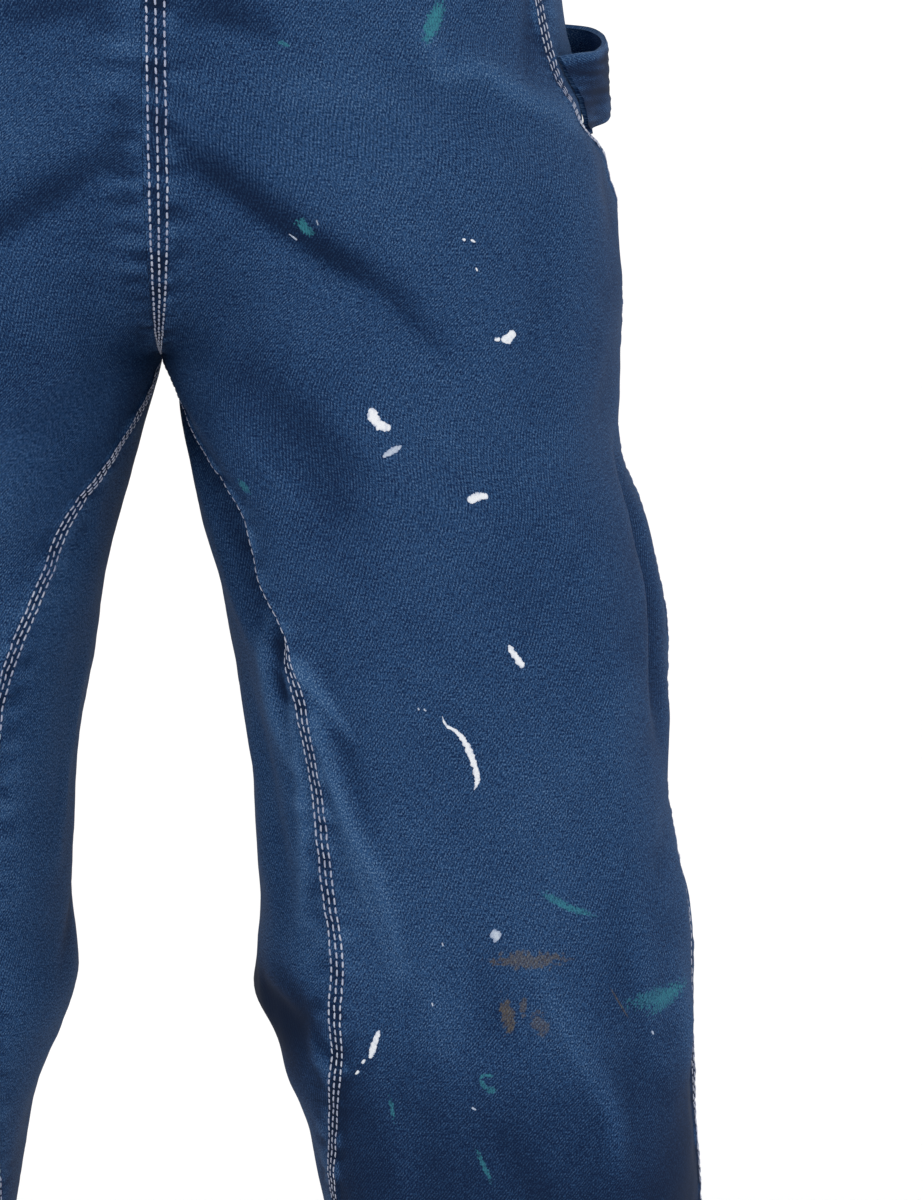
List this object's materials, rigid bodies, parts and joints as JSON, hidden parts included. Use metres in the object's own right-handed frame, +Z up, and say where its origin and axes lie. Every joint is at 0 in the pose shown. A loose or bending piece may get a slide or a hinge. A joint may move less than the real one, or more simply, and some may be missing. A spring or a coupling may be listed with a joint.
{
  "type": "paint spattered bib dungarees, worn and hollow",
  "caption": "Blue denim bib dungarees held in their worn, hollow form, with triple-stitched legs, a hammer loop, braces with wire buckles, and old paint and rust spatters.",
  "frame": {"origin": "midway between the tops of the two shoulder straps, where the wearer's shoulders hold the garment", "axes": "+Z up along the wearer, -Y out of the front, +X towards the wearer's left"},
  "size_m": [0.518, 0.2765, 1.4934],
  "materials": {
    "denim": "washed indigo right-hand twill, slubby and matt, with paint and rust marks",
    "aged_brass": "dulled pressed brass",
    "nickel_steel": "worn nickel plate"
  },
  "bodies": {
    "root": {"back_leg_left": "denim", "back_leg_right": "denim", "bib_back": "denim", "bib_button_left": "aged_brass", "bib_button_right": "aged_brass", "bib_front": "denim", "buckle_left": "nickel_steel", "buckle_right": "nickel_steel", "front_leg_left": "denim", "front_leg_right": "denim", "hammer_loop": "denim", "hem_left": "denim", "hem_right": "denim", "placket_button_left": "aged_brass", "placket_button_right": "aged_brass", "pocket_mouth_left": "denim", "pocket_mouth_right": "denim", "side_placket_left": "denim", "side_placket_right": "denim", "slider_left": "nickel_steel", "slider_right": "nickel_steel", "strap_left": "denim", "strap_right": "denim", "tab_button_left": "aged_brass", "tab_button_right": "aged_brass", "waistband_back": "denim", "waistband_front": "denim"}
  },
  "joints": []
}
